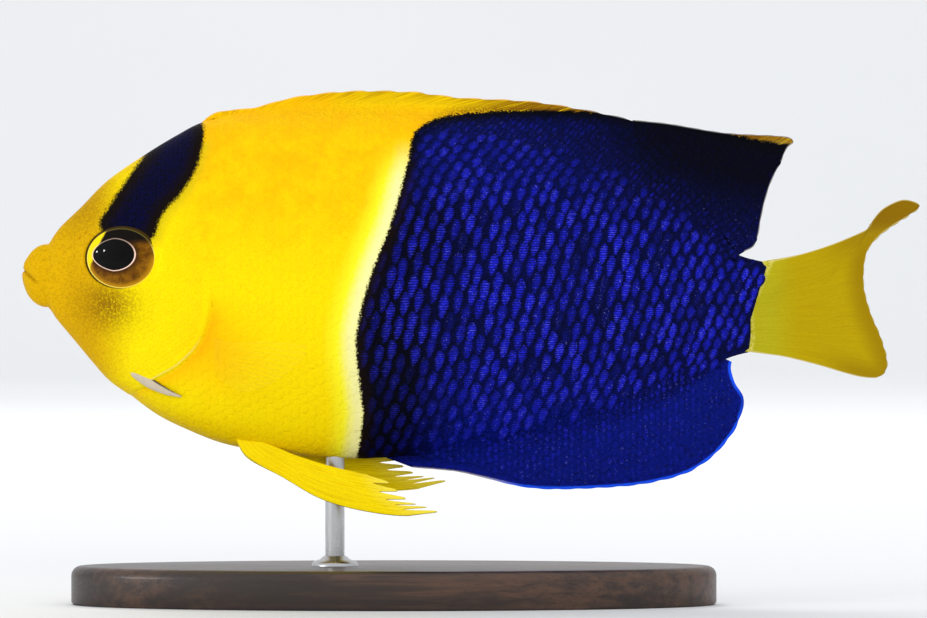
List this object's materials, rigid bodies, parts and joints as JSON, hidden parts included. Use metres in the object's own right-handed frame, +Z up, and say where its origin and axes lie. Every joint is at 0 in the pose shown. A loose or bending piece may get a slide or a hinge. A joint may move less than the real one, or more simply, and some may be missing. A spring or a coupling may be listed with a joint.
{
  "type": "bicolor angelfish display model",
  "caption": "Still life-size model of a two-coloured reef angelfish, yellow in front and blue behind, on an oval base with one rod.",
  "frame": {"origin": "on the floor, at the middle of the model's bounding box", "axes": "head toward -X and tail toward +X, the fish's left side toward -Y, +Z up"},
  "size_m": [0.1394, 0.0482, 0.0797],
  "materials": {
    "face_skin": "satin, golden yellow with a navy nape band",
    "yellow_skin": "satin, fine scales",
    "blue_skin": "satin, scales with bright blue centres and black rims",
    "eye": "wet gloss, dark pupil with a pale ring in a brown iris",
    "yellow_fin": "satin, fine rays",
    "blue_fin": "satin, fine rays, bright blue rim below",
    "stand_wood": "dark stained, satin lacquer",
    "stand_steel": "fine brushed"
  },
  "bodies": {
    "root": {"lips": "face_skin", "head": "face_skin", "eye_left": "eye", "eye_right": "eye", "trunk_front": "yellow_skin", "trunk_rear": "blue_skin", "tail_stem": "blue_skin", "dorsal_fin_spiny": "yellow_fin", "dorsal_fin_soft": "blue_fin", "anal_fin": "blue_fin", "tail_fin": "yellow_fin", "pelvic_fin_left": "yellow_fin", "pelvic_fin_right": "yellow_fin", "pectoral_fin_left": "yellow_fin", "pectoral_fin_right": "yellow_fin", "stand_base": "stand_wood", "stand_rod": "stand_steel"}
  },
  "joints": []
}
